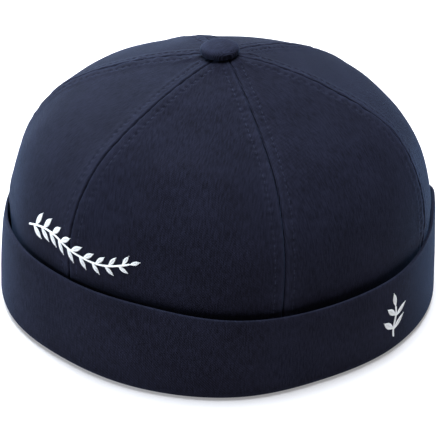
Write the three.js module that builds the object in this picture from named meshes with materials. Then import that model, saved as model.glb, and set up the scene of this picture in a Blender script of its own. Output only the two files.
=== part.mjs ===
// A docker cap: a brimless crown of six sewn panels, a covered button at its top
// and a cuff that is turned up round its rim.
// Millimetres, +Z up, the front of the cap towards -Y.
// The origin is the middle of the rim, on the surface that the cap stands on.

import * as THREE from "three";
import { mergeVertices } from "three/addons/utils/BufferGeometryUtils.js";

// Driving dimensions
const headCircumference = 580; // round the inside of the crown, at the rim
const ovalRatio = 1.03; // length from front to back over width
const crownHeight = 114; // outside, from the surface to the middle of the top
const panelWall = 1.6; // twill with its interlining
const seamGap = 0.5; // between two neighbouring panels
const tipRadius = 1.6; // the panels end round a small hole under the button
const cuffWall = 2.2; // twill on both faces, interlining between them
const cuffHeight = 40;
const cuffFoldRadius = 2.3; // middle of the cloth, where the cuff turns up
const cuffStandOff = 2.2; // from the crown to the inside of the cuff's top edge
const cuffFlare = 0.9; // how much wider the cuff is at its fold than at its top edge
const sewnClearance = 0.4; // between the crown's lower edge and the cuff
const cuffLipInset = 0.2; // the cuff's sewn lip stops this far outside the head
const buttonDiameter = 17.2;
const buttonHeight = 4.2;
const buttonWaist = 0.36; // share of the button's height at which it is widest
const buttonTuck = 0.88; // share of its radius to which its rim turns under
const buttonRimRound = 0.5;
const buttonDomeFullness = 0.7; // below 1 the dome is flatter on top, with steeper sides
const buttonShift = 2.4; // sewn on a little off the middle, towards the front right
const buttonTilt = 3; // degrees
const buttonClearance = 0.4;
const buttonSeatSlope = 4.5; // degrees, of the hollow under the button

// Sizes that follow from them
const headRadius = headCircumference / (2 * Math.PI);
const crownRadius = headRadius + panelWall;
const crownFoot = cuffWall + sewnClearance;
const swellEnd = 0.85 * crownHeight; // above this height the crown no longer follows the rim

// The seams round the crown, in degrees from the front towards the wearer's left.
const seamAzimuths = [0, 59.5, 118, 181, 240, 300];

// The back left seam runs a little askew. The degrees that it lies off its azimuth
// change from foot to top between two shares of its length, and the crown beside it
// follows within the spread.
const seamDrift = { azimuth: seamAzimuths[2], foot: -5.5, top: 5, begins: 0.3, ends: 0.9, spread: 32 };

// How fine the curved faces are
const panelColumns = 10;
const panelRows = 20;
const cuffSegments = 72;
const foldSteps = 5;
const wallSteps = 5;
const edgeSteps = 4;
const buttonSegments = 28;
const domeSteps = 7;

// The crown along a seam, from the rim to the top.
// rise is a share of the crown's height, reach a share of its radius, and flat
// the share by which the middle of a panel lies inside the seams on either side.
// sway is how far the soft crown has slumped at that height, in millimetres.
const crownSections = [
  { rise: crownFoot / crownHeight, reach: 0.996, flat: 0.0, sway: 0.0 },
  { rise: 0.16, reach: 0.997, flat: 0.002, sway: 0.2 },
  { rise: 0.33, reach: 1.004, flat: 0.008, sway: 0.3 },
  { rise: 0.46, reach: 1.006, flat: 0.016, sway: 0.4 },
  { rise: 0.578, reach: 0.98, flat: 0.028, sway: 0.4 },
  { rise: 0.688, reach: 0.911, flat: 0.042, sway: 0.4 },
  { rise: 0.778, reach: 0.806, flat: 0.056, sway: 0.3 },
  { rise: 0.84, reach: 0.672, flat: 0.068, sway: 0.2 },
  { rise: 0.89, reach: 0.527, flat: 0.078, sway: 0.0 },
  { rise: 0.934, reach: 0.376, flat: 0.086, sway: -0.2 },
  { rise: 0.967, reach: 0.22, flat: 0.09, sway: -0.3 },
  { rise: 0.989, reach: 0.09, flat: 0.07, sway: -0.3 },
  { rise: 1.0, reach: tipRadius / crownRadius, flat: 0.0, sway: -0.3 },
];
const slumpAzimuth = 132; // the slump runs along this line, towards the wearer's back left

// How the soft cuff stands, in a row for each equal step round the cap, from the
// front towards the wearer's left. lean is how far the top edge moves outwards,
// lift how far it moves up, and swell how far the rim stands out, in millimetres.
const cuffStance = [
  { lean: -0.6, lift: 1.5, swell: -0.9 },
  { lean: -0.6, lift: 1.9, swell: 0.2 },
  { lean: 0.4, lift: -0.8, swell: 0.8 },
  { lean: 0.8, lift: -1.8, swell: -2.2 },
  { lean: 0.2, lift: -1.2, swell: -0.6 },
  { lean: -0.4, lift: -0.4, swell: 0.6 },
  { lean: -0.3, lift: 0.0, swell: 0.1 },
  { lean: -0.1, lift: -0.3, swell: -0.6 },
  { lean: 0.0, lift: -0.3, swell: -0.6 },
  { lean: 0.1, lift: 0.2, swell: 0.2 },
  { lean: -0.2, lift: 0.0, swell: 0.2 },
  { lean: -0.8, lift: -0.6, swell: -0.5 },
  { lean: -1.0, lift: -1.2, swell: -0.6 },
  { lean: -1.0, lift: -0.6, swell: -0.4 },
  { lean: -0.8, lift: 0.9, swell: 0.3 },
];

const radians = THREE.MathUtils.degToRad;

function twill(name, color) {
  return new THREE.MeshStandardMaterial({ name, color, roughness: 0.9, metalness: 0 });
}
const crownTwill = twill("crown twill", 0x1d2440);
const cuffTwill = twill("cuff twill", 0x1f2643);
const buttonTwill = twill("button twill", 0x212846);

// A point of the oval plan: azimuth in radians from the front, towards +X.
function planPoint(azimuth, radius, height) {
  const stretch = Math.sqrt(ovalRatio);
  return new THREE.Vector3(
    (radius * Math.sin(azimuth)) / stretch,
    -radius * Math.cos(azimuth) * stretch,
    height,
  );
}

// The rows of the cuff's table as a smooth closed curve round the cap.
const stanceCurve = new THREE.CatmullRomCurve3(
  cuffStance.map((row) => new THREE.Vector3(row.lean, row.lift, row.swell)),
  true,
  "catmullrom",
);

function stanceAt(azimuth) {
  const turns = azimuth / (2 * Math.PI);
  const { x: lean, y: lift, z: swell } = stanceCurve.getPoint(THREE.MathUtils.euclideanModulo(turns, 1));
  return { lean, lift, swell };
}

// The columns of the crown's table as two smooth curves with a common parameter.
const profileCurve = new THREE.CatmullRomCurve3(
  crownSections.map((row) => new THREE.Vector3(row.reach * crownRadius, 0, row.rise * crownHeight)),
);
const reliefCurve = new THREE.CatmullRomCurve3(
  crownSections.map((row) => new THREE.Vector3(row.flat, row.sway, 0)),
);

// How far the crown has moved sideways where the table says sway.
function slump(sway) {
  const line = radians(slumpAzimuth);
  return new THREE.Vector3(Math.sin(line), -Math.cos(line), 0).multiplyScalar(sway);
}

// How far the askew seam draws the crown round, in radians.
function driftAt(azimuth, along) {
  const aside = (azimuth - radians(seamDrift.azimuth)) / radians(seamDrift.spread);
  const crossed = THREE.MathUtils.smoothstep(along, seamDrift.begins, seamDrift.ends);
  return radians(THREE.MathUtils.lerp(seamDrift.foot, seamDrift.top, crossed)) * Math.exp(-(aside ** 2));
}

// A point of the crown's outer face. along runs from 0 at the rim to 1 at the top,
// across from -1 to 1 between the two seams of the panel.
function crownPoint(panel, across, along, flatness = 1) {
  const place = profileCurve.getUtoTmapping(along);
  const profile = profileCurve.getPoint(place);
  const relief = reliefCurve.getPoint(place);
  const straight = panel.middle + across * (panel.halfWidth - seamGap / 2 / profile.x);
  const azimuth = straight + driftAt(straight, along);
  const draw = 1 - flatness * relief.x * (1 - across * across);
  const follow = 1 - THREE.MathUtils.smoothstep(profile.z, cuffHeight, swellEnd);
  const swell = stanceAt(azimuth).swell * follow;
  return planPoint(azimuth, profile.x * draw + swell, profile.z).add(slump(relief.y));
}

// The direction out of the round crown, without the flattening of the panels,
// so that neighbouring panels share it along their seam.
function crownNormal(panel, across, along) {
  const step = 0.002;
  const low = Math.max(along - step, 0);
  const high = Math.min(along + step, 1);
  const round = crownPoint(panel, across + step, along, 0).sub(crownPoint(panel, across - step, along, 0));
  const up = crownPoint(panel, across, high, 0).sub(crownPoint(panel, across, low, 0));
  return round.cross(up).normalize();
}

// A closed solid from rings of points: each ring is joined to the next one,
// and the last to the first where the rings go all the way round.
function ringsGeometry(rings, closesOnItself) {
  const size = rings[0].length;
  const positions = rings.flat().flatMap((point) => point.toArray());
  const index = [];
  const pairs = closesOnItself ? rings.length : rings.length - 1;
  for (let ring = 0; ring < pairs; ring += 1) {
    const next = (ring + 1) % rings.length;
    for (let spot = 0; spot < size; spot += 1) {
      const beside = (spot + 1) % size;
      const a = ring * size + spot;
      const b = ring * size + beside;
      const c = next * size + beside;
      const d = next * size + spot;
      index.push(a, b, c, a, c, d);
    }
  }
  return { positions, index };
}

function toGeometry({ positions, index }) {
  const geometry = new THREE.BufferGeometry();
  geometry.setAttribute("position", new THREE.Float32BufferAttribute(positions, 3));
  geometry.setIndex(index);
  geometry.computeVertexNormals();
  return geometry;
}

// One panel: a ring of points round its section at each height, outside and
// inside, and a strip of faces that closes each end.
function panelGeometry(panel) {
  const rings = [];
  for (let row = 0; row <= panelRows; row += 1) {
    const along = row / panelRows;
    const outside = [];
    const inside = [];
    for (let column = 0; column <= panelColumns; column += 1) {
      const across = (2 * column) / panelColumns - 1;
      const point = crownPoint(panel, across, along);
      outside.push(point);
      inside.push(point.clone().addScaledVector(crownNormal(panel, across, along), -panelWall));
    }
    rings.push([...outside, ...inside.reverse()]);
  }
  const shell = ringsGeometry(rings, false);
  const size = rings[0].length;
  const lastRing = panelRows * size;
  for (let column = 0; column < panelColumns; column += 1) {
    const back = size - 1 - column;
    shell.index.push(column, back, column + 1, back, back - 1, column + 1);
    const top = [column, column + 1, back, back - 1].map((spot) => lastRing + spot);
    shell.index.push(top[0], top[1], top[2], top[2], top[1], top[3]);
  }
  return toGeometry(shell);
}

// The middle line of the cuff's cloth, as points (radius, height):
// out from under the crown's edge, round the fold and up to the top edge.
function cuffMiddleLine() {
  const lipRadius = headRadius + cuffLipInset;
  const bulgeRadius = crownRadius + cuffStandOff + cuffWall / 2 + cuffFlare;
  const topRadius = crownRadius + cuffStandOff + cuffWall / 2;
  const foldMiddle = new THREE.Vector2(bulgeRadius - cuffFoldRadius, cuffWall / 2 + cuffFoldRadius);
  const topHeight = cuffHeight - cuffWall / 2;
  const line = [new THREE.Vector2(lipRadius, cuffWall / 2)];
  for (let step = 0; step <= foldSteps; step += 1) {
    const turn = -Math.PI / 2 + (Math.PI / 2) * (step / foldSteps);
    line.push(new THREE.Vector2(Math.cos(turn), Math.sin(turn)).multiplyScalar(cuffFoldRadius).add(foldMiddle));
  }
  const foot = line.at(-1);
  const top = new THREE.Vector2(topRadius, topHeight);
  for (let step = 1; step <= wallSteps; step += 1) {
    line.push(foot.clone().lerp(top, step / wallSteps));
  }
  return line;
}

// The closed outline of the cuff's section: the outer face up to the top edge,
// round that edge, and down the inner face to the lip.
function cuffOutline() {
  const line = cuffMiddleLine();
  const outer = [];
  const inner = [];
  line.forEach((point, spot) => {
    const before = line[Math.max(spot - 1, 0)];
    const after = line[Math.min(spot + 1, line.length - 1)];
    const outwards = after.clone().sub(before).normalize().rotateAround(new THREE.Vector2(), -Math.PI / 2);
    outer.push(point.clone().addScaledVector(outwards, cuffWall / 2));
    inner.push(point.clone().addScaledVector(outwards, -cuffWall / 2));
  });
  outer[1].y = 0; // the lip and the start of the fold lie flat on the surface
  const edge = [];
  const topMiddle = line.at(-1);
  const topDirection = outer.at(-1).clone().sub(topMiddle).angle();
  for (let step = 1; step < edgeSteps; step += 1) {
    const turn = topDirection + Math.PI * (step / edgeSteps);
    edge.push(new THREE.Vector2(Math.cos(turn), Math.sin(turn)).multiplyScalar(cuffWall / 2).add(topMiddle));
  }
  return [...outer, ...edge, ...inner.reverse()];
}

function cuffGeometry() {
  const outline = cuffOutline();
  const foldTop = cuffWall + cuffFoldRadius;
  const rings = [];
  for (let segment = 0; segment < cuffSegments; segment += 1) {
    const azimuth = (2 * Math.PI * segment) / cuffSegments;
    const { lean, lift, swell } = stanceAt(azimuth);
    const ring = outline.map((point) => {
      const share = Math.max(point.y - foldTop, 0) / (cuffHeight - foldTop);
      return planPoint(azimuth, point.x + swell + lean * share, point.y + lift * share);
    });
    rings.push(ring);
  }
  return toGeometry(ringsGeometry(rings.reverse(), true));
}

// The covered button: a low dome with a rim that turns under, hollowed below so
// that it sits on the shallow cone of the crown's top. Its own origin is that top.
function buttonGeometry() {
  const rim = buttonDiameter / 2;
  const droop = rim * Math.tan(radians(buttonSeatSlope));
  const waist = buttonHeight * buttonWaist - droop;
  const tuck = rim * buttonTuck;
  const profile = [
    new THREE.Vector2(0, buttonClearance),
    new THREE.Vector2(tuck, buttonClearance - droop),
    new THREE.Vector2((tuck + 2 * rim) / 3, buttonClearance - droop + buttonRimRound),
  ];
  for (let step = 0; step < domeSteps; step += 1) {
    const turn = (Math.PI / 2) * (step / domeSteps);
    const dome = (buttonHeight - waist) * Math.sin(turn);
    const reach = rim * Math.cos(turn) ** buttonDomeFullness;
    profile.push(new THREE.Vector2(reach, buttonClearance + waist + dome));
  }
  profile.push(new THREE.Vector2(0, buttonClearance + buttonHeight));
  const lathe = new THREE.LatheGeometry(profile, buttonSegments);
  lathe.rotateX(Math.PI / 2);
  lathe.deleteAttribute("normal");
  lathe.deleteAttribute("uv");
  const solid = mergeVertices(lathe);
  solid.computeVertexNormals();
  return solid;
}

const cap = new THREE.Group();
cap.name = "docker_cap";

// The panels, named as the wearer has them, round from the front towards the left.
const panelNames = ["front_left", "left", "back_left", "back_right", "right", "front_right"];
panelNames.forEach((name, order) => {
  const from = radians(seamAzimuths[order]);
  const to = radians(seamAzimuths[order + 1] ?? seamAzimuths[0] + 360);
  const place = { middle: (from + to) / 2, halfWidth: (to - from) / 2 };
  const panel = new THREE.Mesh(panelGeometry(place), crownTwill);
  panel.name = `crown_panel_${name}`;
  cap.add(panel);
});

const cuff = new THREE.Mesh(cuffGeometry(), cuffTwill);
cuff.name = "cuff";
cap.add(cuff);

const button = new THREE.Mesh(buttonGeometry(), buttonTwill);
button.name = "top_button";
button.position.copy(slump(crownSections.at(-1).sway - buttonShift)).setZ(crownHeight);
const tiltAxis = slump(1).cross(button.up);
button.rotateOnAxis(tiltAxis, radians(buttonTilt));
cap.add(button);

export default cap;
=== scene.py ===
# Docker cap of navy cotton twill: six sewn panels, a turned-up cuff and a covered button
import bisect
import math

import bmesh
import bpy
from mathutils import Matrix, Vector, noise


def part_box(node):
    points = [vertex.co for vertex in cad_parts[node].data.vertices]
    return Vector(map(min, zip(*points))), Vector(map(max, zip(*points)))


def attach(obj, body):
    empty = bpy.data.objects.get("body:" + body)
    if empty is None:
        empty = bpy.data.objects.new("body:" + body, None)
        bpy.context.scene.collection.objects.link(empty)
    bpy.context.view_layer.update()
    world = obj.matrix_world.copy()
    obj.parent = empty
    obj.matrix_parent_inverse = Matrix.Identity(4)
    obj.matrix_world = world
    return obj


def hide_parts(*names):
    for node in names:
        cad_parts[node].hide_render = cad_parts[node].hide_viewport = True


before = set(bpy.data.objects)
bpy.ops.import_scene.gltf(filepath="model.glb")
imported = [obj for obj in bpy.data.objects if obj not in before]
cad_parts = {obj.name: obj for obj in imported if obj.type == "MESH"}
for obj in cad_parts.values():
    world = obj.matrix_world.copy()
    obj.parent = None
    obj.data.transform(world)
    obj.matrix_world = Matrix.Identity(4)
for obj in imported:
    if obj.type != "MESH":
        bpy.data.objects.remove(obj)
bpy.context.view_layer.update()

mm = 0.001
weld = 0.01 * mm                    # points closer than this are one
fullTurn = 2 * math.pi
up = Vector((0, 0, 1))


# Small helpers

def ease(low, high, value):         # 0 below low, 1 above high, smooth between
    share = min(max((value - low) / (high - low), 0.0), 1.0)
    return share * share * (3 - 2 * share)


def bell(distance, width):
    return math.exp(-(distance / width) ** 2)


def wearAndHighlightAt(mark, distance):         # how pale the cloth is at a distance from its edge, for wear and painted highlight
    return mark["share"] * bell(distance - mark["at"], mark["width"])


def curveBetween(before, here, there, after, gaps, share):
    first, middle, last = gaps
    step = (there - here) / middle
    leave = ((here - before) / first - (there - before) / (first + middle) + step) * middle
    arrive = (step - (after - here) / (middle + last) + (after - there) / last) * middle
    bend = there * 3 - here * 3 - leave * 2 - arrive
    twist = here * 2 - there * 2 + leave + arrive
    return here + leave * share + bend * share ** 2 + twist * share ** 3


def ringRow(rows, turn):            # rows at equal steps round the cap, turn in whole turns
    place = (turn % 1) * len(rows)
    spot = int(place)
    around = [rows[(spot + step) % len(rows)] for step in (-1, 0, 1, 2)]
    return curveBetween(*around, (1, 1, 1), place - spot)


def openRow(rows, place):           # rows from one end to the other, place counts them
    spot = min(int(place), len(rows) - 2)
    here, there = rows[spot], rows[spot + 1]
    before = rows[spot - 1] if spot else here * 2 - there
    after = rows[spot + 2] if spot + 2 < len(rows) else there * 2 - here
    gaps = [math.sqrt((b - a).length) for a, b in ((before, here), (here, there), (there, after))]
    return curveBetween(before, here, there, after, gaps, place - spot)


def startCloth():                   # a mesh with a flat lay for the weave and a value for its wear and painted highlight
    bm = bmesh.new()
    return bm, bm.loops.layers.uv.new("cloth"), bm.verts.layers.float.new("wearAndHighlight")


def layCloth(bm, cloth, flatSpots):
    for face in bm.faces:
        face.smooth = True
        for loop in face.loops:
            loop[cloth].uv = flatSpots[loop.vert]


def spinRound(bm, ring, edges, turns):
    bmesh.ops.spin(bm, geom=ring + edges, cent=(0, 0, 0), axis=up, angle=fullTurn,
                   steps=turns, use_merge=True)
    bmesh.ops.remove_doubles(bm, verts=bm.verts, dist=weld)
    bmesh.ops.recalc_face_normals(bm, faces=bm.faces)


def makePiece(name, bm, material, standsFor=()):
    mesh = bpy.data.meshes.new(name)
    bm.to_mesh(mesh)
    bm.free()
    mesh.materials.append(material)
    piece = bpy.data.objects.new(name, mesh)
    bpy.context.collection.objects.link(piece)
    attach(piece, "root")
    if standsFor:
        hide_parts(*standsFor)
    return piece


# Cloth and thread finishes

twillLooks = {                      # colours of the valleys (painted shade), the cloth and the crests (painted highlight) of its weave
    "crown": [(0.0038, 0.0037, 0.0063), (0.0086, 0.0086, 0.0154), (0.0172, 0.018, 0.035)],
    "cuff": [(0.004, 0.0039, 0.0067), (0.0091, 0.0091, 0.0162), (0.0178, 0.0187, 0.036)],
    "button": [(0.0044, 0.0045, 0.0082), (0.0112, 0.0118, 0.0217), (0.022, 0.024, 0.044)],
}
twillWeave = {
    "wale": 0.55,                   # mm between the diagonal ribs
    "slant": 24,                    # degrees that the ribs lean from upright
    "wobble": 1.4,
    "wobbleDetail": 3,
    "wobbleScale": 0.9,
    "streak": {"stretch": (1.4, 0.26), "perMm": 1, "detail": 3, "roughness": 0.6},    # along the warp
    "fuzz": {"stretch": (1, 1), "perMm": 1.9, "detail": 3, "roughness": 0.65},
    "patch": {"stretch": (1, 1), "perMm": 0.035, "detail": 4, "roughness": 0.55},     # slow change of shade
    "height": {"wale": 0.35, "streak": 0.4, "fuzz": 0.25},      # what each adds to the relief
    "shade": {"height": 0.8, "patch": 0.22, "streak": 0.18},    # and to the colour, as painted shade and highlight with random tone
    "shadeStops": (0.42, 0.6, 0.77),
    "depth": 0.16 * mm,
    "bump": 1.0,
    # paler tone for worn cloth and for painted highlights
    "wearAndHighlightTone": (0.03, 0.035, 0.064),
    "wearAndHighlight": 0.5,
    "roughness": (0.97, 0.8),       # in the valleys and on the crests
    "gloss": 0.03,
    "sheen": 0.095,
    "sheenRoughness": 0.28,
    "sheenTint": (0.3, 0.52, 1.0, 1.0),
}
threadLooks = {
    "seamThread": {"tones": [(0.009, 0.01, 0.018), (0.036, 0.04, 0.066)], "roughness": 0.8, "gloss": 0.03},
    "whiteThread": {"tones": [(0.8, 0.8, 0.8), (0.95, 0.95, 0.95)], "roughness": 0.5, "gloss": 0.3},
}
threadTwist = {
    "perMetre": 2600,
    "detail": 3,
    "stops": (0.3, 0.7),
    "bump": 0.4,
    "depth": 0.08 * mm,
}


def startFinish(name):
    material = bpy.data.materials.new(name)
    material.use_nodes = True
    tree = material.node_tree
    return material, tree.nodes, tree.links.new, tree.nodes["Principled BSDF"]


def addRamp(nodes, link, value, stops, colours):
    ramp = nodes.new("ShaderNodeValToRGB")
    marks = ramp.color_ramp.elements
    while len(marks) < len(stops):
        marks.new(1)
    for mark, stop, colour in zip(marks, stops, colours):
        mark.position = stop
        mark.color = (*colour, 1)
    link(value, ramp.inputs["Fac"])
    return ramp.outputs["Color"]


def addBump(nodes, link, shader, height, strength, depth):
    bump = nodes.new("ShaderNodeBump")
    bump.inputs["Strength"].default_value = strength
    bump.inputs["Distance"].default_value = depth
    link(height, bump.inputs["Height"])
    link(bump.outputs["Normal"], shader.inputs["Normal"])


def waveScale(pitch):               # the wave texture runs through 20 radians in each unit
    return fullTurn / (20 * pitch)


def twillMaterial(name, colours):
    material, nodes, link, shader = startFinish(name)
    cloth = nodes.new("ShaderNodeUVMap")
    cloth.uv_map = "cloth"

    def laid(stretch, slant):
        node = nodes.new("ShaderNodeMapping")
        node.inputs["Scale"].default_value = [share / mm for share in (*stretch, 1)]
        node.inputs["Rotation"].default_value[2] = math.radians(slant)
        link(cloth.outputs["UV"], node.inputs["Vector"])
        return node.outputs["Vector"]

    def ribs():
        node = nodes.new("ShaderNodeTexWave")
        node.bands_direction = "X"
        node.inputs["Scale"].default_value = waveScale(twillWeave["wale"])
        node.inputs["Distortion"].default_value = twillWeave["wobble"]
        node.inputs["Detail"].default_value = twillWeave["wobbleDetail"]
        node.inputs["Detail Scale"].default_value = twillWeave["wobbleScale"]
        link(laid((1, 1), twillWeave["slant"]), node.inputs["Vector"])
        return node.outputs["Fac"]

    def cloud(look):
        node = nodes.new("ShaderNodeTexNoise")
        node.inputs["Scale"].default_value = look["perMm"]
        node.inputs["Detail"].default_value = look["detail"]
        node.inputs["Roughness"].default_value = look["roughness"]
        link(laid(look["stretch"], 0), node.inputs["Vector"])
        return node.outputs["Fac"]

    def addUp(shares):              # weighted sum of the grey layers
        total = None
        for layer, share in shares.items():
            node = nodes.new("ShaderNodeMath")
            node.operation = "MULTIPLY_ADD"
            node.inputs[1].default_value = share
            node.inputs[2].default_value = 0
            link(layers[layer], node.inputs[0])
            if total:
                link(total, node.inputs[2])
            total = node.outputs["Value"]
        return total

    layers = {"wale": ribs()}
    for layer in ("streak", "fuzz", "patch"):
        layers[layer] = cloud(twillWeave[layer])
    layers["height"] = addUp(twillWeave["height"])

    # painted light on the weave: the ribs are painted lighter and the valleys between them darker, mixed
    # with random patches and streaks of tone
    shade = addUp(twillWeave["shade"])
    colour = addRamp(nodes, link, shade, twillWeave["shadeStops"], colours)

    # paler in patches where the cloth is worn, and as painted highlight along the cuff's top edge and
    # beside the seams
    wearAndHighlightMark = nodes.new("ShaderNodeAttribute")
    wearAndHighlightMark.attribute_name = "wearAndHighlight"
    patchy = nodes.new("ShaderNodeMath")
    patchy.operation = "MULTIPLY"
    link(wearAndHighlightMark.outputs["Fac"], patchy.inputs[0])
    link(shade, patchy.inputs[1])
    paleShare = nodes.new("ShaderNodeMath")
    paleShare.operation = "MULTIPLY"
    paleShare.use_clamp = True
    paleShare.inputs[1].default_value = twillWeave["wearAndHighlight"]
    link(patchy.outputs["Value"], paleShare.inputs[0])
    paler = nodes.new("ShaderNodeMix")
    paler.data_type = "RGBA"
    paler.inputs["B"].default_value = (*twillWeave["wearAndHighlightTone"], 1)
    link(paleShare.outputs["Value"], paler.inputs["Factor"])
    link(colour, paler.inputs["A"])
    link(paler.outputs["Result"], shader.inputs["Base Color"])

    rough = nodes.new("ShaderNodeMapRange")
    rough.inputs["To Min"].default_value, rough.inputs["To Max"].default_value = twillWeave["roughness"]
    link(layers["height"], rough.inputs["Value"])
    link(rough.outputs["Result"], shader.inputs["Roughness"])

    addBump(nodes, link, shader, layers["height"], twillWeave["bump"], twillWeave["depth"])
    shader.inputs["Specular IOR Level"].default_value = twillWeave["gloss"]
    shader.inputs["Sheen Weight"].default_value = twillWeave["sheen"]
    shader.inputs["Sheen Roughness"].default_value = twillWeave["sheenRoughness"]
    shader.inputs["Sheen Tint"].default_value = twillWeave["sheenTint"]
    return material


def threadMaterial(name):
    look = threadLooks[name]
    material, nodes, link, shader = startFinish(name)
    place = nodes.new("ShaderNodeTexCoord")
    ply = nodes.new("ShaderNodeTexNoise")
    ply.inputs["Scale"].default_value = threadTwist["perMetre"]
    ply.inputs["Detail"].default_value = threadTwist["detail"]
    link(place.outputs["Object"], ply.inputs["Vector"])
    colour = addRamp(nodes, link, ply.outputs["Fac"], threadTwist["stops"], look["tones"])
    link(colour, shader.inputs["Base Color"])
    addBump(nodes, link, shader, ply.outputs["Fac"], threadTwist["bump"], threadTwist["depth"])
    shader.inputs["Roughness"].default_value = look["roughness"]
    shader.inputs["Specular IOR Level"].default_value = look["gloss"]
    return material


crownTwill = twillMaterial("crownTwill", twillLooks["crown"])
cuffTwill = twillMaterial("cuffTwill", twillLooks["cuff"])
buttonTwill = twillMaterial("buttonTwill", twillLooks["button"])
seamThread = threadMaterial("seamThread")
whiteThread = threadMaterial("whiteThread")
print("finishes ready")


# The crown's surface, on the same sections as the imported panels

panelFoot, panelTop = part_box("crown_panel_left")
crown = {
    "headRound": 580 * mm,
    "oval": 1.03,                   # length over width
    "wall": 1.6 * mm,
    "foot": panelFoot.z,
    "height": panelTop.z,
    "tip": 1.6 * mm,                # the hole under the button
    "seamGap": 0.04 * mm,
    "slumpTowards": 132,            # degrees from the front, towards the wearer's left
    "followTo": 40 * mm,            # up to here the crown follows the rim's swell
    "followEnd": 0.85,              # share of the height
}
crown["radius"] = crown["headRound"] / fullTurn + crown["wall"]
crownSections = [                   # shares of height and radius, flatness between seams, slump in mm
    {"rise": crown["foot"] / crown["height"], "reach": 0.996, "flat": 0.0, "sway": 0.0},
    {"rise": 0.16, "reach": 0.997, "flat": 0.002, "sway": 0.2},
    {"rise": 0.33, "reach": 1.004, "flat": 0.008, "sway": 0.3},
    {"rise": 0.46, "reach": 1.006, "flat": 0.016, "sway": 0.4},
    {"rise": 0.578, "reach": 0.98, "flat": 0.028, "sway": 0.4},
    {"rise": 0.688, "reach": 0.911, "flat": 0.042, "sway": 0.4},
    {"rise": 0.778, "reach": 0.806, "flat": 0.056, "sway": 0.3},
    {"rise": 0.84, "reach": 0.672, "flat": 0.068, "sway": 0.2},
    {"rise": 0.89, "reach": 0.527, "flat": 0.078, "sway": 0.0},
    {"rise": 0.934, "reach": 0.376, "flat": 0.086, "sway": -0.2},
    {"rise": 0.967, "reach": 0.22, "flat": 0.09, "sway": -0.3},
    {"rise": 0.989, "reach": 0.09, "flat": 0.07, "sway": -0.3},
    {"rise": 1.0, "reach": crown["tip"] / crown["radius"], "flat": 0.0, "sway": -0.3},
]
cuffStance = [                      # every 24 degrees from the front: lean, lift and swell in mm
    (-0.4, 1.5, -1.1), (-0.6, 1.9, 0.2), (0.4, -0.8, 0.8), (0.8, -1.8, -2.2), (0.2, -1.2, -0.6),
    (-2.0, -0.4, 0.8), (-0.5, 0.0, 0.0), (-0.1, -0.4, -0.6), (0.0, -0.3, -0.6), (0.1, 0.2, 0.2),
    (-0.2, 0.0, 0.2), (-0.8, -0.6, -0.5), (-0.7, -1.2, -0.6), (-0.9, -0.6, 0.2), (-1.5, 0.9, 1.0),
]
stanceRows = [Vector(row) * mm for row in cuffStance]
profileRows = [Vector((row["reach"] * crown["radius"], row["rise"] * crown["height"]))
               for row in crownSections]
reliefRows = [Vector((row["flat"], row["sway"])) for row in crownSections]
ovalStretch = math.sqrt(crown["oval"])
slumpAngle = math.radians(crown["slumpTowards"])
slumpLine = Vector((math.sin(slumpAngle), -math.cos(slumpAngle), 0))


def planSpot(azimuth, radius, height):
    x = radius * math.sin(azimuth) / ovalStretch
    y = -radius * math.cos(azimuth) * ovalStretch
    return Vector((x, y, height))


def planOut(azimuth):
    return Vector((math.sin(azimuth) * ovalStretch, -math.cos(azimuth) / ovalStretch, 0)).normalized()


def stanceAt(azimuth):
    return ringRow(stanceRows, azimuth / fullTurn)


# lengths along the crown, from its foot to the top
arcSteps = 40
arcPlaces = [step / arcSteps for step in range(arcSteps * (len(profileRows) - 1) + 1)]
arcSpots = [openRow(profileRows, place) for place in arcPlaces]
arcLengths = [0.0]
for lower, upper in zip(arcSpots, arcSpots[1:]):
    arcLengths.append(arcLengths[-1] + (upper - lower).length)
crownLength = arcLengths[-1]


def crownRow(distance):
    spot = min(max(bisect.bisect(arcLengths, distance) - 1, 0), len(arcPlaces) - 2)
    share = (distance - arcLengths[spot]) / (arcLengths[spot + 1] - arcLengths[spot])
    place = arcPlaces[spot] + share / arcSteps
    profile = openRow(profileRows, place)
    relief = openRow(reliefRows, place)
    slope = (arcSpots[spot + 1] - arcSpots[spot]).normalized()
    follow = 1 - ease(crown["followTo"], crown["followEnd"] * crown["height"], profile.y)
    return {"radius": profile.x, "height": profile.y, "flat": relief.x, "sway": relief.y * mm,
            "run": slope.x, "rise": slope.y, "follow": follow, "distance": distance}


# the back left seam runs a little askew, and the crown beside it follows
seamDrift = {
    "azimuth": 118,
    "foot": -5.5,                   # degrees off its azimuth at the rim
    "top": 5,
    "begins": 0.3,                  # shares of its length between which it crosses over
    "ends": 0.9,
    "spread": 32,                   # degrees
}


def driftAt(azimuth, share):
    aside = bell(azimuth - math.radians(seamDrift["azimuth"]), math.radians(seamDrift["spread"]))
    crossed = ease(seamDrift["begins"], seamDrift["ends"], share)
    return math.radians(seamDrift["foot"] + (seamDrift["top"] - seamDrift["foot"]) * crossed) * aside


def crownSpot(panel, across, row):  # a point of the smooth crown, and the way out of it
    azimuth = panel["middle"] + across * (panel["half"] - crown["seamGap"] / 2 / row["radius"])
    azimuth += driftAt(azimuth, row["distance"] / crownLength)
    radius = row["radius"] * (1 - row["flat"] * (1 - across * across)) + stanceAt(azimuth).z * row["follow"]
    spot = planSpot(azimuth, radius, row["height"]) + slumpLine * row["sway"]
    out = (planOut(azimuth) * row["rise"] - up * row["run"]).normalized()
    return spot, out


# The six panels with their rolled seams, seam allowances, puckers and soft dents

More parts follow.
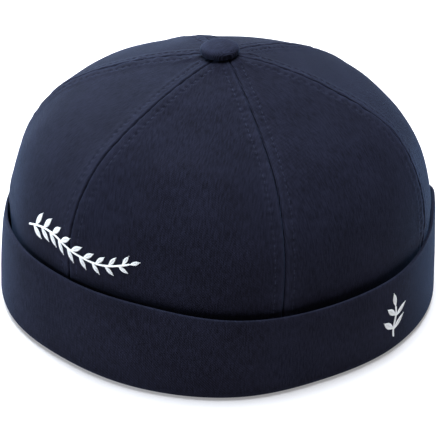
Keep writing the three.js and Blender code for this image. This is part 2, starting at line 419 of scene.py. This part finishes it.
seamNames = ["front", "front_left", "back_left", "back", "back_right", "front_right"]
seamAzimuths = [0, 59.5, 118, 181, 240, 300]
panelNames = ["front_left", "left", "back_left", "back_right", "right", "front_right"]
panelCut = {
    "columns": 54,
    "rows": 330,
    "crowding": 2.0,                # columns crowd towards the seams
    "edge": 0.001 * mm,             # nearer to the seam than this is the sewn edge itself
    "seedStep": 7.3,                # each panel has its own puckers
    "dent": 0.5 * mm,
    "dentSize": 40 * mm,
    "ripple": 0.1 * mm,
    "rippleSize": 11 * mm,
    "calmTip": 14 * mm,             # dents fade out within this radius
}
panels = []
for order, name in enumerate(panelNames):
    begin = math.radians(seamAzimuths[order])
    end = math.radians((seamAzimuths + [360])[order + 1])
    panels.append({"name": name, "middle": (begin + end) / 2, "half": (end - begin) / 2,
                   "seed": panelCut["seedStep"] * order})

seamWork = {
    "roll": 0.95 * mm,              # the cloth turns down into the seam over this width
    "rollDepth": 1.0 * mm,
    "tipRoll": 0.6,                 # share of that depth near the button
    "tipRollAt": (16 * mm, 62 * mm),    # radii between which it grows to the whole
    "turnIn": 1.8 * mm,             # the sewn edges stand inwards from there
    "turnFade": (4 * mm, 8 * mm),   # and lie flat again under the button
    "allowance": 7.0 * mm,          # pressed open under the panels
    "allowanceEdge": (0.65, 1.25),  # shares of its width between which it ends
    "allowanceRise": 0.3 * mm,
    "rowOffset": 4.4 * mm,          # topstitching on both sides of the seam
    "rowWidth": 0.7 * mm,
    "rowDip": 0.48 * mm,
    "rowPull": (0.55, 0.45),        # the dip's mean share, and its swing from stitch to stitch
    "stitchPitch": 3.0 * mm,
    "pucker": {"rise": 0.3 * mm, "pitch": 3.4 * mm, "stretch": 0.4, "seed": 0},
    "puckerReach": 5.5 * mm,
    "gather": {"rise": 0.26 * mm, "pitch": 2.1 * mm, "stretch": 0.5, "seed": 40},
    "gatherAt": (34 * mm, 22 * mm),     # finer puckers, where the panels narrow
    "tipFade": (8 * mm, 14 * mm),   # the work flattens out towards the button
    # paler bands beside each seam: wear, and painted highlight on the puckers and allowance
    "wearAndHighlightMarks": [
        {"at": 1.2 * mm, "width": 0.8 * mm, "share": 0.45},
        {"at": 4 * mm, "width": 2.5 * mm, "share": 0.15},
    ],
}
pinches = [                         # short folds that run out from under the button, in mm
    {"panel": "front_right", "across": -0.42, "reach": 30, "rise": 0.55, "width": 1.5},
    {"panel": "front_right", "across": 0.3, "reach": 22, "rise": 0.3, "width": 1.6},
    {"panel": "front_left", "across": -0.25, "reach": 20, "rise": 0.28, "width": 1.7},
    {"panel": "left", "across": 0.2, "reach": 26, "rise": 0.35, "width": 1.8},
    {"panel": "back_left", "across": -0.1, "reach": 24, "rise": 0.35, "width": 1.7},
    {"panel": "back_right", "across": 0.35, "reach": 26, "rise": 0.4, "width": 1.6},
    {"panel": "right", "across": -0.2, "reach": 22, "rise": 0.35, "width": 1.7},
]
pinchRun = {
    "begins": (2 * mm, 8 * mm),     # radii between which a pinch comes up
    "fades": 0.4,                   # share of its reach at which it starts to go down
}
swells = [                          # where the crown stands fuller or has sunk, in mm
    {"azimuth": 238, "radius": 62, "height": 98, "rise": -1.8, "width": 17},
    {"azimuth": 274, "radius": 66, "height": 96, "rise": 0.9, "width": 22},
    {"azimuth": 306, "radius": 88, "height": 80, "rise": -1.2, "width": 16},
    {"azimuth": 181, "radius": 72, "height": 93, "rise": -0.9, "width": 15},
    {"azimuth": 122, "radius": 93, "height": 70, "rise": -1.1, "width": 18},
    {"azimuth": 314, "radius": 94, "height": 42, "rise": 1.5, "width": 12},
]
for swell in swells:
    swell["spot"] = planSpot(math.radians(swell["azimuth"]), swell["radius"] * mm, swell["height"] * mm)


def allowanceRise(side):
    begin, end = (share * seamWork["allowance"] for share in seamWork["allowanceEdge"])
    return seamWork["allowanceRise"] * (1 - ease(begin, end, side))


def puckered(work, distance, side, seed):
    pitch = work["pitch"]
    place = (distance / pitch, work["stretch"] * side / pitch, seed + work["seed"])
    return work["rise"] * noise.noise(place)


def seamRelief(side, row, seed):
    distance, radius = row["distance"], row["radius"]
    fade = ease(*seamWork["tipFade"], radius)
    tipRoll = seamWork["tipRoll"]
    depth = seamWork["rollDepth"] * (tipRoll + (1 - tipRoll) * ease(*seamWork["tipRollAt"], radius))
    height = -depth * max(1 - side / seamWork["roll"], 0) ** 2
    height += fade * allowanceRise(side)
    mean, swing = seamWork["rowPull"]
    pull = mean - swing * math.cos(fullTurn * distance / seamWork["stitchPitch"])
    height -= fade * seamWork["rowDip"] * pull * bell(side - seamWork["rowOffset"], seamWork["rowWidth"])
    middle, spread = seamWork["gatherAt"]
    pucker = puckered(seamWork["pucker"], distance, side, seed)
    pucker += puckered(seamWork["gather"], distance, side, seed) * bell(radius - middle, spread)
    return height + fade * pucker * bell(side, seamWork["puckerReach"])


def pinchRise(pinch, beside, radius):
    reach = pinch["reach"] * mm
    length = ease(*pinchRun["begins"], radius) * (1 - ease(pinchRun["fades"] * reach, reach, radius))
    return pinch["rise"] * mm * length * bell(beside, pinch["width"] * mm)


def clothRelief(panel, across, row, spot):
    radius = row["radius"]
    held = ease(crown["foot"], crown["followTo"], row["height"]) * ease(0, panelCut["calmTip"], radius)
    relief = held * panelCut["dent"] * noise.noise(spot / panelCut["dentSize"])
    relief += held * panelCut["ripple"] * noise.noise(spot / panelCut["rippleSize"])
    for swell in swells:
        relief += swell["rise"] * mm * bell((spot - swell["spot"]).length, swell["width"] * mm)
    for pinch in pinches:
        if pinch["panel"] == panel["name"]:
            relief += pinchRise(pinch, (across - pinch["across"]) * panel["half"] * radius, radius)
    return relief


def panelSpot(panel, across, row):  # a point of the sewn panel, and the way out of it
    spot, out = crownSpot(panel, across, row)
    side = (1 - abs(across)) * panel["half"] * row["radius"]
    relief = seamRelief(side, row, panel["seed"] + (1 if across > 0 else 0))
    return spot + out * (relief + clothRelief(panel, across, row, spot)), out


def buildPanel(panel):
    columns, rows = panelCut["columns"], panelCut["rows"]
    levels = [crownRow(crownLength * step / rows) for step in range(rows + 1)]
    bm, cloth, wearAndHighlight = startCloth()
    bmesh.ops.create_grid(bm, x_segments=columns, y_segments=rows, size=1)
    flatSpots = {}
    for vert in bm.verts:
        row = levels[round((vert.co.y + 1) / 2 * rows)]
        across = math.copysign(1 - (1 - abs(vert.co.x)) ** panelCut["crowding"], vert.co.x)
        width = panel["half"] * row["radius"]
        side = (1 - abs(across)) * width
        flatSpots[vert] = (across * width, row["distance"])
        # paler beside the seam: wear and painted highlight
        vert[wearAndHighlight] = sum(wearAndHighlightAt(mark, side) for mark in seamWork["wearAndHighlightMarks"])
        vert.co, out = panelSpot(panel, across, row)
        if side < panelCut["edge"]:
            vert.co -= out * seamWork["turnIn"] * ease(*seamWork["turnFade"], row["radius"])
    layCloth(bm, cloth, flatSpots)
    for edge in bm.edges:
        edge.smooth = not edge.is_boundary
    name = panel["name"]
    piece = makePiece("twill_panel_" + name, bm, crownTwill, ["crown_panel_" + name])
    wall = piece.modifiers.new("wall", "SOLIDIFY")
    wall.thickness = crown["wall"]
    wall.offset = -1


for panel in panels:
    buildPanel(panel)
print("crown panels cut and placed")


# Stitches are small spindles of thread, laid from one needle hole to the next

spindle = {
    "sides": 6,
    "steps": 5,
    "length": 1.0,                  # each stitch stretches it to its own lay
}
topstitch = {
    "length": 1.95 * mm,
    "thread": (0.5 * mm, 0.4 * mm),     # width and height
    "proud": 0.14 * mm,
    "start": 24 * mm,               # along the crown, hidden behind the cuff
    "stopRadius": 10.5 * mm,        # at the button
}


def layStitch(begin, end, out, width, thickness):
    line = end - begin
    side = out.cross(line).normalized()
    lay = Matrix((side * width, out * thickness, line)).transposed().to_4x4()
    lay.translation = (begin + end) / 2
    return lay


def makeSpindle():
    bm = bmesh.new()
    bmesh.ops.create_uvsphere(bm, u_segments=spindle["sides"], v_segments=spindle["steps"],
                              radius=spindle["length"] / 2)
    for face in bm.faces:
        face.smooth = True
    mesh = bpy.data.meshes.new("spindle")
    bm.to_mesh(mesh)
    bm.free()
    return mesh


def sewAll(name, lays, material):
    stitch = makeSpindle()
    bm = bmesh.new()
    for lay in lays:
        laid = stitch.copy()
        laid.transform(lay)
        bm.from_mesh(laid)
        bpy.data.meshes.remove(laid)
    bpy.data.meshes.remove(stitch)
    makePiece(name, bm, material)


def sewSeam(order):
    lays = []
    for panel, sign in ((panels[order], -1), (panels[order - 1], 1)):
        distance = topstitch["start"]
        while crownRow(distance)["radius"] >= topstitch["stopRadius"]:
            ends = []
            for step in (-0.5, 0.5):
                row = crownRow(distance + step * topstitch["length"])
                across = sign * (1 - seamWork["rowOffset"] / (panel["half"] * row["radius"]))
                spot, out = panelSpot(panel, across, row)
                ends.append(spot + out * topstitch["proud"])
            lays.append(layStitch(*ends, out, *topstitch["thread"]))
            distance += seamWork["stitchPitch"]
    sewAll("topstitch_" + seamNames[order], lays, seamThread)


for order in range(len(seamNames)):
    sewSeam(order)
print("seams topstitched")


# The cuff: a spun section, leaned, lifted and swelled round the rim, sewn shut at the back

cuff = {
    "wall": 2.2 * mm,
    "height": 40 * mm,
    "foldWide": 2.4 * mm,
    "foldHigh": 3.0 * mm,
    "standOff": 2.2 * mm,
    "flare": 0.9 * mm,
    "bow": 0.35 * mm,               # the wall's soft belly
    "lipInset": 0.2 * mm,
    "foldSteps": 10,
    "wallSteps": 22,
    "edgeSteps": 12,
    "edgeRound": 0.7,               # 1 is a half circle, less is squarer
    "pressedBand": 7 * mm,          # the top edge is pressed thinner over this height
    "pressed": 0.55,                # share of the wall that is left there
    "turns": 340,
    "dent": 0.45 * mm,
    "dentSize": 34 * mm,
    "dentFrom": 0.5,                # share of the height at which dents are at their deepest
    # the top edge is paler: wear, and a painted highlight along its crest
    "edgeWearAndHighlight": {"at": 0, "width": 0.9 * mm, "share": 0.9},
    "foldRub": {"at": 0, "width": 2 * mm, "share": 0.3},
}
cuffFlick = {                       # an upturned spot of the top edge
    "azimuth": 139,
    "width": 6,                     # degrees
    "lean": 1.7 * mm,
    "lift": 3.0 * mm,
}
cuffJoin = {
    "azimuth": math.pi,
    "rows": (0.25, 0.6, 1.0, 1.5, 2.1, 2.6, 3.1, 3.9, 5.0, 6.2),    # mm either side
    "roll": 0.9 * mm,
    "rollDepth": 0.8 * mm,
    "allowanceEdge": (3.6 * mm, 6.2 * mm),
    "allowanceRise": 0.35 * mm,
    "rowDip": 0.22 * mm,
    "pucker": {"rise": 0.2 * mm, "pitch": 4 * mm, "stretch": 0, "seed": 3.1},
    "puckerReach": 5 * mm,
    "facing": 0.3,                  # only cloth that faces outwards has this relief
    "above": 4 * mm,                # which comes in over this height
    "stitchFoot": 7 * mm,
    "stitchTop": 2.5 * mm,          # below the top edge
    "wearAndHighlightMark": {"at": 1.2 * mm, "width": 1 * mm, "share": 0.5},
}
cuffFaceRadius = crown["radius"] + cuff["standOff"] + cuff["wall"]


def cuffMiddleLine():
    lip = crown["headRound"] / fullTurn + cuff["lipInset"]
    top = crown["radius"] + cuff["standOff"] + cuff["wall"] / 2
    foot = top + cuff["flare"]
    half, wide, high = cuff["wall"] / 2, cuff["foldWide"], cuff["foldHigh"]
    line = [Vector((lip, half)), Vector(((lip + foot - wide) / 2, half))]
    for step in range(cuff["foldSteps"] + 1):
        turn = math.pi / 2 * step / cuff["foldSteps"]
        line.append(Vector((foot - wide + wide * math.sin(turn), half + high - high * math.cos(turn))))
    base = line[-1]
    peak = Vector((top, cuff["height"] - half))
    for step in range(1, cuff["wallSteps"] + 1):
        share = step / cuff["wallSteps"]
        line.append(base.lerp(peak, share) + Vector((cuff["bow"] * math.sin(math.pi * share), 0)))
    return line


def cuffOutline():
    line = cuffMiddleLine()
    outer, inner = [], []
    for spot, point in enumerate(line):
        ahead = line[min(spot + 1, len(line) - 1)] - line[max(spot - 1, 0)]
        out = Vector((ahead.y, -ahead.x)).normalized()
        pressed = ease(cuff["height"] - cuff["pressedBand"], cuff["height"], point.y)
        half = cuff["wall"] / 2 * (1 - (1 - cuff["pressed"]) * pressed)
        outer.append(point + out * half)
        inner.append(point - out * half)
    for point in outer[:3]:         # flat where it rests, up to the fold
        point.y = 0
    crest = []
    aside = outer[-1] - line[-1]
    above = Matrix.Rotation(math.pi / 2, 2) @ aside
    for step in range(1, cuff["edgeSteps"]):
        turn = math.pi * step / cuff["edgeSteps"]
        reach, rise = math.cos(turn), math.sin(turn)
        squared = math.copysign(abs(reach) ** cuff["edgeRound"], reach)
        crest.append(line[-1] + aside * squared + above * rise ** cuff["edgeRound"])
    return outer + crest + inner[::-1]


def cuffSpot(azimuth, radius, height):
    lean, lift, swell = stanceAt(azimuth)
    turned = bell(math.degrees(azimuth) - cuffFlick["azimuth"], cuffFlick["width"])
    lean += cuffFlick["lean"] * turned
    lift += cuffFlick["lift"] * turned
    foldTop = cuff["wall"] / 2 + cuff["foldHigh"]
    share = max(height - foldTop, 0) / (cuff["height"] - foldTop)
    spot = planSpot(azimuth, radius + swell + lean * share, height + lift * share)
    dent = cuff["dent"] * noise.noise(spot / cuff["dentSize"]) * ease(0, cuff["dentFrom"], share)
    return spot + planOut(azimuth) * dent


def joinRelief(side, height):
    relief = -cuffJoin["rollDepth"] * max(1 - side / cuffJoin["roll"], 0) ** 2
    relief += cuffJoin["allowanceRise"] * (1 - ease(*cuffJoin["allowanceEdge"], side))
    relief -= cuffJoin["rowDip"] * bell(side - seamWork["rowOffset"], seamWork["rowWidth"])
    return relief + puckered(cuffJoin["pucker"], height, side, 0) * bell(side, cuffJoin["puckerReach"])


def spinCuff(bm, girth):
    outline = cuffOutline()
    ring = []
    travelled = 0.0
    for spot, point in enumerate(outline):
        travelled += (point - outline[spot - 1]).length if spot else 0.0
        vert = bm.verts.new((0, -point.x, point.y))
        vert[girth] = travelled
        ring.append(vert)
    edges = [bm.edges.new((a, b)) for a, b in zip(ring, ring[1:] + ring[:1])]
    spinRound(bm, ring, edges, cuff["turns"])
    for side in cuffJoin["rows"]:   # closer rows of points beside the join
        for sign in (-1, 1):
            back = [face for face in bm.faces if face.calc_center_median().y > 0]
            parts = {part for face in back for part in (*face.verts, *face.edges)}
            bmesh.ops.bisect_plane(bm, geom=back + list(parts), plane_co=(sign * side * mm, 0, 0),
                                   plane_no=(1, 0, 0))
    bm.normal_update()


def layCuffCloth(bm, cloth, girth):
    around = crown["radius"] + cuff["standOff"]
    for face in bm.faces:
        face.smooth = True
        centre = face.calc_center_median()
        middle = math.atan2(centre.x, -centre.y)
        for loop in face.loops:
            azimuth = math.atan2(loop.vert.co.x, -loop.vert.co.y)
            if azimuth - middle > math.pi:      # the weave runs on across the back
                azimuth -= fullTurn
            elif middle - azimuth > math.pi:
                azimuth += fullTurn
            loop[cloth].uv = (azimuth * around, loop.vert[girth])


def buildCuff():
    bm, cloth, wearAndHighlight = startCloth()
    girth = bm.verts.layers.float.new("girth")
    spinCuff(bm, girth)
    outward = {vert: vert.normal.copy() for vert in bm.verts}
    for vert, out in outward.items():
        azimuth = math.atan2(vert.co.x, -vert.co.y)
        radius, height = math.hypot(vert.co.x, vert.co.y), vert.co.z
        spot = cuffSpot(azimuth, radius, height)
        side = (cuffJoin["azimuth"] - abs(azimuth)) * radius
        if out.dot(planOut(azimuth)) > cuffJoin["facing"]:
            spot += out * joinRelief(side, height) * ease(0, cuffJoin["above"], height)
        # paler at the top edge (wear, and painted highlight along the crest), at the fold and beside the
        # join (wear)
        wearAndHighlightMarks = [(cuff["edgeWearAndHighlight"], cuff["height"] - height), (cuff["foldRub"], height),
                (cuffJoin["wearAndHighlightMark"], side)]
        vert[wearAndHighlight] = sum(wearAndHighlightAt(mark, distance) for mark, distance in wearAndHighlightMarks)
        vert.co = spot
    layCuffCloth(bm, cloth, girth)
    makePiece("turned_cuff", bm, cuffTwill, ["cuff"])


def cuffFace(azimuth, height):      # a point of the cuff's outer face, and the way out of it
    share = height / cuff["height"]
    radius = cuffFaceRadius + cuff["flare"] * (1 - share) + cuff["bow"] * math.sin(math.pi * share)
    return cuffSpot(azimuth, radius, height), planOut(azimuth)


def sewJoin():
    lays = []
    for sign in (-1, 1):
        azimuth = cuffJoin["azimuth"] + sign * seamWork["rowOffset"] / cuffFaceRadius
        height = cuffJoin["stitchFoot"]
        while height < cuff["height"] - cuffJoin["stitchTop"]:
            out = planOut(azimuth)
            lift = out * (joinRelief(seamWork["rowOffset"], height) + topstitch["proud"])
            begin, end = (cuffFace(azimuth, height + step * topstitch["length"])[0] + lift
                          for step in (-0.5, 0.5))
            lays.append(layStitch(begin, end, out, *topstitch["thread"]))
            height += seamWork["stitchPitch"]
    sewAll("topstitch_cuff_join", lays, seamThread)


buildCuff()
sewJoin()
print("cuff turned up")


# The covered button

buttonLow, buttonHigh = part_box("top_button")
button = {
    "radius": 8.6 * mm,
    "height": 4.2 * mm,
    "waist": 0.52,                  # share of the height at which it is widest
    "skirt": [(0.74, 0.0), (0.95, 0.25), (0.985, 0.6)],     # share of the radius, mm above the crown
    "clearance": 0.4 * mm,
    "seatSlope": 4.5,               # degrees
    "fullness": 0.68,               # less is flatter on top and steeper at the sides
    "tilt": 3,                      # degrees
    "turns": 96,
    "domeSteps": 16,
    "sideLay": (0.9, 0.4),          # beyond this share of the radius, the weave runs on down the side
    "wearAndHighlightMark": {"at": 0.8, "width": 0.14, "share": 0.7},        # shares of the radius
    "rubAbove": 1 * mm,
}
buttonGathers = {
    "count": 17,
    "depth": 0.13 * mm,
    "uneven": 2.2,
    "unevenPitch": 2,
    "seed": 0.5,
    "low": 0.4,                     # share of the waist's height up to which they are deepest
    "high": 1.3 * mm,               # above the waist, where they end
    "begin": (0.5, 0.8),            # shares of the radius
}


def buttonOutline(waist, droop):
    rim, clear = button["radius"], button["clearance"]
    outline = [(0, clear)]
    for share, rise in button["skirt"]:
        outline.append((share * rim, clear - droop + rise * mm))
    for step in range(button["domeSteps"] + 1):
        turn = math.pi / 2 * step / button["domeSteps"]
        reach = rim * max(math.cos(turn), 0) ** button["fullness"]
        outline.append((reach, clear + waist + (button["height"] - waist) * math.sin(turn)))
    return outline


def gathered(azimuth, radius, height, waist):      # share by which the cover draws in or out
    rim, pitch = button["radius"], buttonGathers["unevenPitch"]
    low = 1 - ease(waist * buttonGathers["low"], waist + buttonGathers["high"], height)
    place = (math.sin(azimuth) * pitch, math.cos(azimuth) * pitch, buttonGathers["seed"])
    pleat = math.cos(buttonGathers["count"] * azimuth + buttonGathers["uneven"] * noise.noise(place))
    begin, end = (share * rim for share in buttonGathers["begin"])
    return buttonGathers["depth"] * low * pleat / rim * ease(begin, end, radius)


def buildButton():
    bm, cloth, wearAndHighlight = startCloth()
    rim = button["radius"]
    droop = rim * math.tan(math.radians(button["seatSlope"]))
    waist = button["height"] * button["waist"] - droop
    ring = [bm.verts.new((0, -reach, height)) for reach, height in buttonOutline(waist, droop)]
    edges = [bm.edges.new(pair) for pair in zip(ring, ring[1:])]
    spinRound(bm, ring, edges, button["turns"])
    middle = (buttonLow + buttonHigh) / 2
    tiltAxis = Vector((slumpLine.y, -slumpLine.x, 0))
    tilt = Matrix.Rotation(math.radians(button["tilt"]), 4, tiltAxis)
    seat = Matrix.Translation((middle.x, middle.y, crown["height"])) @ tilt
    sideFrom, sideRun = button["sideLay"]
    flatSpots = {}
    for vert in bm.verts:
        x, y, height = vert.co
        radius = math.hypot(x, y)
        shrink = 1 + gathered(math.atan2(x, -y), radius, height, waist)
        flatSpots[vert] = (x, y + sideRun * (height if radius > sideFrom * rim else 0))
        vert[wearAndHighlight] = wearAndHighlightAt(button["wearAndHighlightMark"], radius / rim) * ease(waist, waist + button["rubAbove"], height)
        vert.co = seat @ Vector((x * shrink, y * shrink, height))
    layCloth(bm, cloth, flatSpots)
    makePiece("covered_button", bm, buttonTwill, ["top_button"])


buildButton()
print("button covered")


# White embroidery: a leafy sprig on the crown's front and a small upright one on the cuff's left side

embroidery = {
    "thread": 0.42 * mm,
    "pitch": 0.5 * mm,
    "proud": 0.25 * mm,
    "slant": 0.9 * mm,              # leaf threads run this far forward on their way out
    "overlap": 0.12 * mm,           # and start this far beyond the leaf's middle line
    "leafFoot": 0.04,               # a leaf starts this share along its own outline
    "leafRound": 0.8,
    "stem": 0.9 * mm,
    "stemPitch": 0.8 * mm,
    "stemRun": 2.2,                 # pitches that each stem thread runs over
    "pairFoot": 0.6,                # the stem below the first pair, in spaces between pairs
    "pairTop": 0.8,                 # and above the last one
    "stagger": 0.03,                # share of the stem between the leaves of a pair
    "probe": 0.01,                  # share of the stem over which its heading is taken
}
crownSprig = {
    "azimuth": 0,
    "distance": 52 * mm,
    "length": 62 * mm,
    "begins": -0.5,                 # share of its length, from the spot that it is placed at
    "sway": 3.0 * mm,
    "turn": 4,
    "pairs": 9,
    "leaf": (8.5 * mm, 5.0 * mm),   # first and last
    "leafWidth": 0.36,
    "spread": 42,
}
cuffSprig = {
    "azimuth": 94,
    "height": 9 * mm,
    "length": 16 * mm,
    "begins": 0.0,
    "sway": 0.6 * mm,
    "turn": 90,
    "pairs": 2,
    "leaf": (9.4 * mm, 7.6 * mm),
    "leafWidth": 0.34,
    "spread": 52,
}


def onCrown(sideways, upwards):
    row = crownRow(crownSprig["distance"] + upwards)
    azimuth = math.radians(crownSprig["azimuth"]) + sideways / row["radius"]
    for panel in panels:
        turn = (azimuth - panel["middle"] + math.pi) % fullTurn - math.pi
        if abs(turn) <= panel["half"]:
            across = turn / panel["half"]
            spot, out = crownSpot(panel, across, row)
            side = (1 - abs(across)) * panel["half"] * row["radius"]
            lift = clothRelief(panel, across, row, spot) + allowanceRise(side)
            return spot + out * lift, out


def onCuff(sideways, upwards):
    azimuth = math.radians(cuffSprig["azimuth"]) + sideways / cuffFaceRadius
    return cuffFace(azimuth, cuffSprig["height"] + upwards)


def layThread(face, begin, end, width):
    spots = []
    for flat in (begin, end):
        spot, out = face(*flat)
        spots.append(spot + out * embroidery["proud"])
    return layStitch(*spots, out, width, width)


def leafThreads(face, base, heading, length, width):
    along = Vector((math.cos(heading), math.sin(heading)))
    beside = Vector((-along.y, along.x))
    count = round(length / embroidery["pitch"])
    lays = []
    for step in range(count + 1):
        share = step / count
        grown = min(share + embroidery["leafFoot"], 1.0)
        half = width / 2 * math.sin(math.pi * grown) ** embroidery["leafRound"]
        root = base + along * (share * length)
        for sign in (-1, 1):
            tip = root + beside * sign * half + along * embroidery["slant"] * (1 - share)
            inner = root - beside * sign * embroidery["overlap"]
            lays.append(layThread(face, inner, tip, embroidery["thread"]))
    return lays


def sewSprig(name, face, sprig):
    lays = []
    turn = math.radians(sprig["turn"])
    axis = Vector((math.cos(turn), math.sin(turn)))
    across = Vector((-axis.y, axis.x))
    probe = embroidery["probe"]
    firstLeaf, lastLeaf = sprig["leaf"]

    def stemAt(share):
        along = axis * ((share + sprig["begins"]) * sprig["length"])
        return along + across * sprig["sway"] * math.sin(fullTurn * share)

    def headingOf(begin, end):
        ahead = stemAt(end) - stemAt(begin)
        return math.atan2(ahead.y, ahead.x)

    count = round(sprig["length"] / embroidery["stemPitch"])
    for step in range(count):
        begin, end = step / count, min((step + embroidery["stemRun"]) / count, 1)
        lays.append(layThread(face, stemAt(begin), stemAt(end), embroidery["stem"]))
    spaces = embroidery["pairFoot"] + sprig["pairs"] - 1 + embroidery["pairTop"]
    for pair in range(sprig["pairs"]):
        share = (pair + embroidery["pairFoot"]) / spaces
        length = firstLeaf + (lastLeaf - firstLeaf) * share
        for sign in (-1, 1):
            spot = min(share + (embroidery["stagger"] if sign > 0 else 0), 1)
            heading = headingOf(spot - probe, min(spot + probe, 1))
            heading += sign * math.radians(sprig["spread"])
            lays += leafThreads(face, stemAt(spot), heading, length, length * sprig["leafWidth"])
    heading = headingOf(1 - 2 * probe, 1)
    lays += leafThreads(face, stemAt(1), heading, lastLeaf, lastLeaf * sprig["leafWidth"])
    sewAll(name, lays, whiteThread)


sewSprig("sprig_on_crown", onCrown, crownSprig)
sewSprig("sprig_on_cuff", onCuff, cuffSprig)
print("sprigs embroidered")


# Floor, light and camera

studio = {
    "floorSize": 6.0,
    "floorTiles": 8,
    "floorTone": (0.7, 0.66, 0.655),
    "floorMottle": 0.02,            # how much paler its patches are
    "floorPatch": 3,                # per metre
    "floorRoughness": 0.9,
    "floorGlow": (0.25, 0.25, 0.26),    # keeps the shadow at the rim pale
    "air": (1.0, 0.96, 0.9),
    "airStrength": 0.2,
    "lightAim": 50 * mm,            # height that the lights point at
}
softBoxes = [                       # azimuth from the camera's, degrees; metres and watts
    {"name": "overhead", "azimuth": 182, "elevation": 86, "distance": 1.5, "size": (0.95, 0.95),
     "power": 50, "colour": (0.83, 0.92, 1.0)},
    {"name": "leftRim", "azimuth": -152, "elevation": 14, "distance": 1.3, "size": (1.0, 0.5),
     "power": 9, "colour": (0.7, 0.86, 1.0)},
    {"name": "backRim", "azimuth": 206, "elevation": 32, "distance": 1.5, "size": (1.0, 0.7),
     "power": 33, "colour": (0.8, 0.91, 1.0)},
    {"name": "leftFill", "azimuth": -88, "elevation": 5, "distance": 1.3, "size": (0.5, 0.2),
     "power": 11, "colour": (0.68, 0.85, 1.0)},
]
viewpoint = {
    "azimuth": 41.6,                # degrees from the front, towards the wearer's left
    "elevation": 28.61,
    "distance": 867 * mm,
    "pivot": 51 * mm,               # height that the distance is measured to
    "aim": 30.15 * mm,              # height at the picture's centre
    "roll": 2.06,                   # degrees
    "lens": 157.2,
    "sensor": 36,
    "nearest": 0.01,
}


def towards(azimuth, elevation):
    a, e = math.radians(azimuth), math.radians(elevation)
    return Vector((math.sin(a) * math.cos(e), -math.cos(a) * math.cos(e), math.sin(e)))


def turnTo(spot, aim):
    return (aim - spot).to_track_quat("-Z", "Y")


def makeFloor():
    bm = bmesh.new()
    tiles = studio["floorTiles"]
    bmesh.ops.create_grid(bm, x_segments=tiles, y_segments=tiles, size=studio["floorSize"] / 2)
    mesh = bpy.data.meshes.new("floor")
    bm.to_mesh(mesh)
    bm.free()
    material, nodes, link, shader = startFinish("paleFloor")
    place = nodes.new("ShaderNodeTexCoord")
    grain = nodes.new("ShaderNodeTexNoise")
    grain.inputs["Scale"].default_value = studio["floorPatch"]
    link(place.outputs["Object"], grain.inputs["Vector"])
    tone = studio["floorTone"]
    paler = [share + studio["floorMottle"] for share in tone]
    colour = addRamp(nodes, link, grain.outputs["Fac"], (0, 1), (tone, paler))
    link(colour, shader.inputs["Base Color"])
    shader.inputs["Roughness"].default_value = studio["floorRoughness"]
    shader.inputs["Emission Color"].default_value = (*studio["floorGlow"], 1)
    shader.inputs["Emission Strength"].default_value = 1
    mesh.materials.append(material)
    floor = bpy.data.objects.new("floor", mesh)
    bpy.context.collection.objects.link(floor)


def hangLight(box):
    light = bpy.data.lights.new(box["name"], "AREA")
    light.shape = "RECTANGLE"
    light.size, light.size_y = box["size"]
    light.energy = box["power"]
    light.color = box["colour"]
    lamp = bpy.data.objects.new(box["name"], light)
    bpy.context.collection.objects.link(lamp)
    aim = Vector((0, 0, studio["lightAim"]))
    azimuth = viewpoint["azimuth"] + box["azimuth"]
    lamp.location = aim + towards(azimuth, box["elevation"]) * box["distance"]
    lamp.rotation_euler = turnTo(lamp.location, aim).to_euler()


def setCamera():
    lens = bpy.data.cameras.new("view")
    lens.lens = viewpoint["lens"]
    lens.sensor_width = viewpoint["sensor"]
    lens.clip_start = viewpoint["nearest"]
    camera = bpy.data.objects.new("view", lens)
    bpy.context.collection.objects.link(camera)
    pivot, aim = (Vector((0, 0, viewpoint[height])) for height in ("pivot", "aim"))
    away = towards(viewpoint["azimuth"], viewpoint["elevation"])
    camera.location = pivot + away * viewpoint["distance"]
    roll = Matrix.Rotation(math.radians(viewpoint["roll"]), 3, "Z")
    camera.rotation_euler = (turnTo(camera.location, aim).to_matrix() @ roll).to_euler()
    bpy.context.scene.camera = camera


makeFloor()
for box in softBoxes:
    hangLight(box)
world = bpy.data.worlds.new("studioAir")
world.use_nodes = True
air = world.node_tree.nodes["Background"]
air.inputs["Color"].default_value = (*studio["air"], 1)
air.inputs["Strength"].default_value = studio["airStrength"]
bpy.context.scene.world = world
bpy.context.scene.view_settings.view_transform = "Standard"
setCamera()
print("studio lit, camera set")
